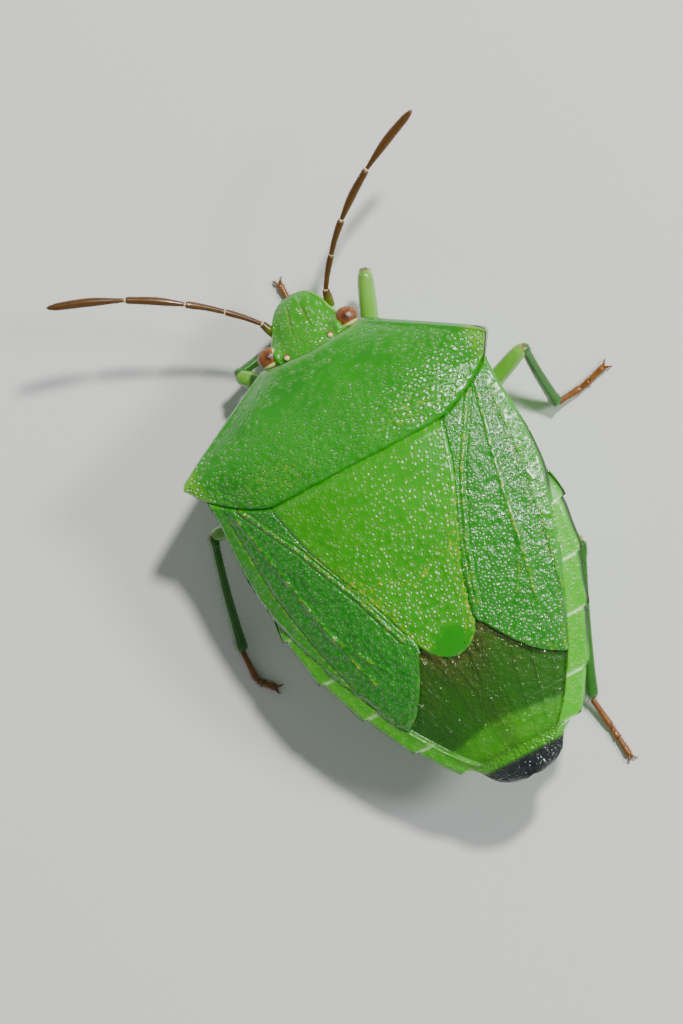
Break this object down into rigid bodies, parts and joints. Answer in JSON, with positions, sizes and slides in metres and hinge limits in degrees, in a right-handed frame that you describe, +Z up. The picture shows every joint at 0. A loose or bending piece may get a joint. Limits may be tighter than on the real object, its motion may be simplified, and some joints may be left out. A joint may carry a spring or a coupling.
{
  "type": "shield bug",
  "caption": "Bright green shield bug with pointed shoulders, life size, standing on its feet with both antennae raised outwards.",
  "frame": {"origin": "on the floor under the middle of the bounding box", "axes": "+Z up; the head points towards -Y and the bug's right side is towards -X"},
  "size_m": [0.011, 0.0154, 0.004],
  "materials": {
    "cuticle_green": "pitted glossy bright green cuticle",
    "scutellum_green": "pitted glossy yellow-green cuticle",
    "wing_green": "densely pitted, wrinkled deep green leathery wing",
    "wing_membrane": "thin clear smoky membrane with dark veins",
    "underside_green": "pale yellow-green satin cuticle",
    "abdomen_green": "light green satin cuticle with pale joints",
    "beak_brown": "green-brown jointed beak",
    "eye_brown": "faceted pinkish-brown eye",
    "antenna_brown": "brown antenna with pale rings at the joints",
    "femur_green": "translucent yellow-green cuticle",
    "tibia_green": "hairy dull green cuticle",
    "tarsus_brown": "orange-brown hairy foot"
  },
  "bodies": {
    "root": {"pronotum": "cuticle_green", "head": "cuticle_green", "scutellum": "scutellum_green", "forewing_left": "wing_green", "forewing_right": "wing_green", "membrane_left": "wing_membrane", "membrane_right": "wing_membrane", "thorax": "underside_green", "abdomen": "abdomen_green", "beak": "beak_brown", "eye_left": "eye_brown", "eye_right": "eye_brown", "antenna_left": "antenna_brown", "antenna_right": "antenna_brown", "leg_front_left_femur": "femur_green", "leg_front_left_tibia": "tibia_green", "leg_front_left_tarsus": "tarsus_brown", "leg_front_right_femur": "femur_green", "leg_front_right_tibia": "tibia_green", "leg_front_right_tarsus": "tarsus_brown", "leg_middle_left_femur": "femur_green", "leg_middle_left_tibia": "tibia_green", "leg_middle_left_tarsus": "tarsus_brown", "leg_middle_right_femur": "femur_green", "leg_middle_right_tibia": "tibia_green", "leg_middle_right_tarsus": "tarsus_brown", "leg_hind_left_femur": "femur_green", "leg_hind_left_tibia": "tibia_green", "leg_hind_left_tarsus": "tarsus_brown", "leg_hind_right_femur": "femur_green", "leg_hind_right_tibia": "tibia_green", "leg_hind_right_tarsus": "tarsus_brown"}
  },
  "joints": []
}
